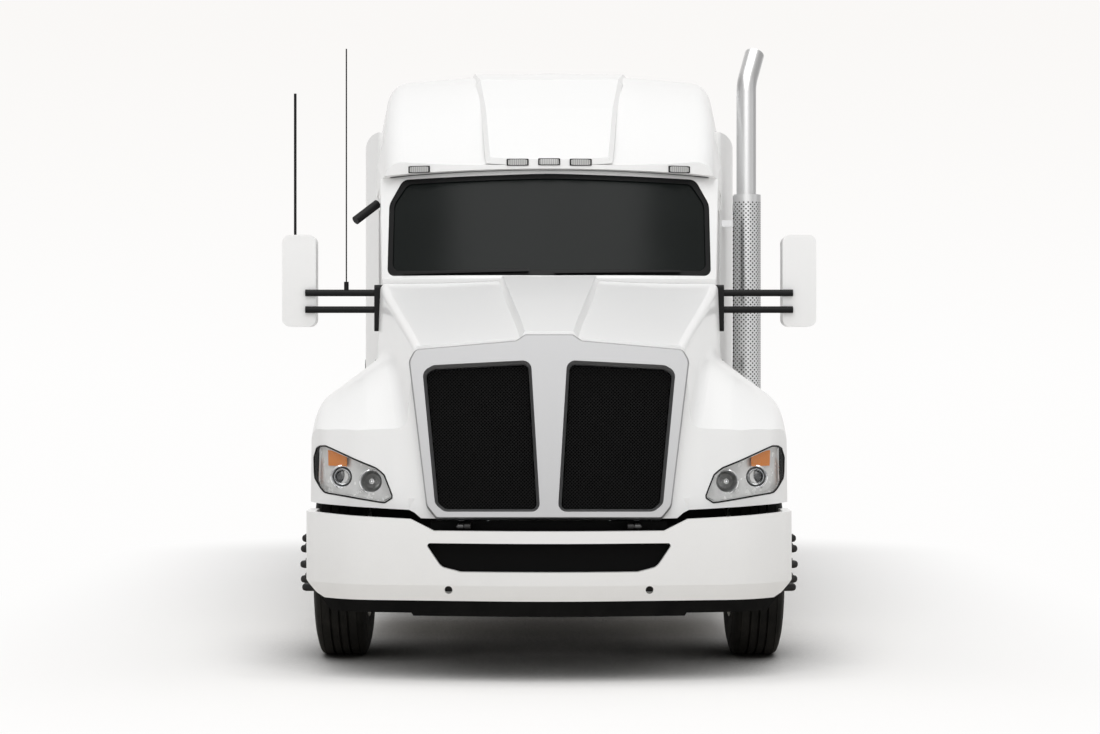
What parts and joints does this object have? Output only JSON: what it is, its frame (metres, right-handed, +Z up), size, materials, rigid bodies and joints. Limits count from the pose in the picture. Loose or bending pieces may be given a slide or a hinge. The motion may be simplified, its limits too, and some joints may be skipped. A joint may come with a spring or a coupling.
{
  "type": "semi truck tractor unit",
  "caption": "Highway tractor unit with sleeper cab: tilting hood, opening doors, steered front wheels, driven twin wheels, vertical exhaust and a rocking fifth wheel.",
  "frame": {"origin": "on the ground under the middle of the vehicle's length and width", "axes": "-Y forward, +X to the truck's left, +Z up"},
  "size_m": [3.17, 8.4, 3.6547],
  "materials": {
    "white_paint": "gloss",
    "black_paint": "satin",
    "cast_metal": "matt",
    "black_plastic": "satin",
    "mesh_black": "satin",
    "satin_silver": "satin",
    "clear_lens": "clear",
    "red_lens": "gloss",
    "window_glass": "tinted",
    "mirror_surface": "polished",
    "tank_aluminium": "brushed",
    "stack_chrome": "polished",
    "flap_rubber": "matt",
    "tyre": "matt",
    "wheel_aluminium": "machined",
    "interior_plastic": "grained",
    "seat_fabric": "woven",
    "mattress_fabric": "woven"
  },
  "bodies": {
    "chassis": {"frame_rails": "black_paint", "front_axle": "black_paint", "drive_axles": "cast_metal", "rear_suspension": "black_paint", "engine_block": "cast_metal", "radiator": "black_paint", "fuel_tanks": "tank_aluminium", "cab_steps": "white_paint", "deck_plate": "black_paint", "fifth_wheel_base": "black_paint", "rear_mudflaps": "flap_rubber", "tail_lamps": "red_lens", "front_bumper": "white_paint", "bumper_trim": "black_plastic", "cab_shell": "white_paint", "windshield_frame": "black_plastic", "fixed_windows": "window_glass", "sleeper_shell": "white_paint", "roof_cap": "white_paint", "side_extenders": "white_paint", "dashboard": "interior_plastic", "steering_wheel": "interior_plastic", "seats": "seat_fabric", "bunk_base": "interior_plastic", "bunk_mattress": "mattress_fabric", "exhaust_stack": "stack_chrome", "stack_shield": "stack_chrome", "mirror_housings": "white_paint", "mirror_glass": "mirror_surface", "mirror_arms": "black_plastic", "marker_lamps": "clear_lens"},
    "hood": {"hood_shell": "white_paint", "fender_liners": "black_plastic", "grille_surround": "satin_silver", "grille_mesh": "mesh_black", "headlamp_lenses": "clear_lens", "headlamp_housings": "black_plastic"},
    "door_left": {"door_left": "white_paint", "door_glass_left": "window_glass"},
    "door_right": {"door_right": "white_paint", "door_glass_right": "window_glass", "look_down_mirror": "black_plastic"},
    "knuckle_left": {"knuckle_left": "cast_metal"},
    "knuckle_right": {"knuckle_right": "cast_metal"},
    "wheel_front_left": {"tyre_front_left": "tyre", "rim_front_left": "wheel_aluminium"},
    "wheel_front_right": {"tyre_front_right": "tyre", "rim_front_right": "wheel_aluminium"},
    "fifth_wheel": {"fifth_wheel": "cast_metal"},
    "wheel_drive_front_left": {"tyres_drive_front_left": "tyre", "rims_drive_front_left": "wheel_aluminium"},
    "wheel_drive_front_right": {"tyres_drive_front_right": "tyre", "rims_drive_front_right": "wheel_aluminium"},
    "wheel_drive_rear_left": {"tyres_drive_rear_left": "tyre", "rims_drive_rear_left": "wheel_aluminium"},
    "wheel_drive_rear_right": {"tyres_drive_rear_right": "tyre", "rims_drive_rear_right": "wheel_aluminium"}
  },
  "joints": [
    {"name": "hood_tilt", "type": "hinge", "parent": "chassis", "child": "hood", "pos_m": [0, -4.09, 0.785], "axis": [1, 0, 0], "range_deg": [0, 65]},
    {"name": "door_left_swing", "type": "hinge", "parent": "chassis", "child": "door_left", "pos_m": [0.9982, -2, 1.8], "axis": [0, 0, -1], "range_deg": [0, 70]},
    {"name": "door_right_swing", "type": "hinge", "parent": "chassis", "child": "door_right", "pos_m": [-0.9982, -2, 1.8], "axis": [0, 0, 1], "range_deg": [0, 70]},
    {"name": "steer_left", "type": "hinge", "parent": "chassis", "child": "knuckle_left", "pos_m": [0.935, -2.92, 0.51], "axis": [0, 0, 1], "range_deg": [-40, 40]},
    {"name": "roll_front_left", "type": "hinge", "parent": "knuckle_left", "child": "wheel_front_left", "pos_m": [1.135, -2.92, 0.51], "axis": [1, 0, 0], "continuous": true},
    {"name": "steer_right", "type": "hinge", "parent": "chassis", "child": "knuckle_right", "pos_m": [-0.935, -2.92, 0.51], "axis": [0, 0, 1], "range_deg": [-40, 40]},
    {"name": "roll_front_right", "type": "hinge", "parent": "knuckle_right", "child": "wheel_front_right", "pos_m": [-1.135, -2.92, 0.51], "axis": [1, 0, 0], "continuous": true},
    {"name": "roll_drive_front_left", "type": "hinge", "parent": "chassis", "child": "wheel_drive_front_left", "pos_m": [0.9325, 2.12, 0.51], "axis": [1, 0, 0], "continuous": true},
    {"name": "roll_drive_front_right", "type": "hinge", "parent": "chassis", "child": "wheel_drive_front_right", "pos_m": [-0.9325, 2.12, 0.51], "axis": [1, 0, 0], "continuous": true},
    {"name": "roll_drive_rear_left", "type": "hinge", "parent": "chassis", "child": "wheel_drive_rear_left", "pos_m": [0.9325, 3.44, 0.51], "axis": [1, 0, 0], "continuous": true},
    {"name": "roll_drive_rear_right", "type": "hinge", "parent": "chassis", "child": "wheel_drive_rear_right", "pos_m": [-0.9325, 3.44, 0.51], "axis": [1, 0, 0], "continuous": true},
    {"name": "fifth_wheel_tilt", "type": "hinge", "parent": "chassis", "child": "fifth_wheel", "pos_m": [0, 2.6, 1.1], "axis": [1, 0, 0], "range_deg": [-12, 12]}
  ],
  "couplings": [
    {"joint": "steer_right", "follows": "steer_left", "ratio": 1}
  ]
}
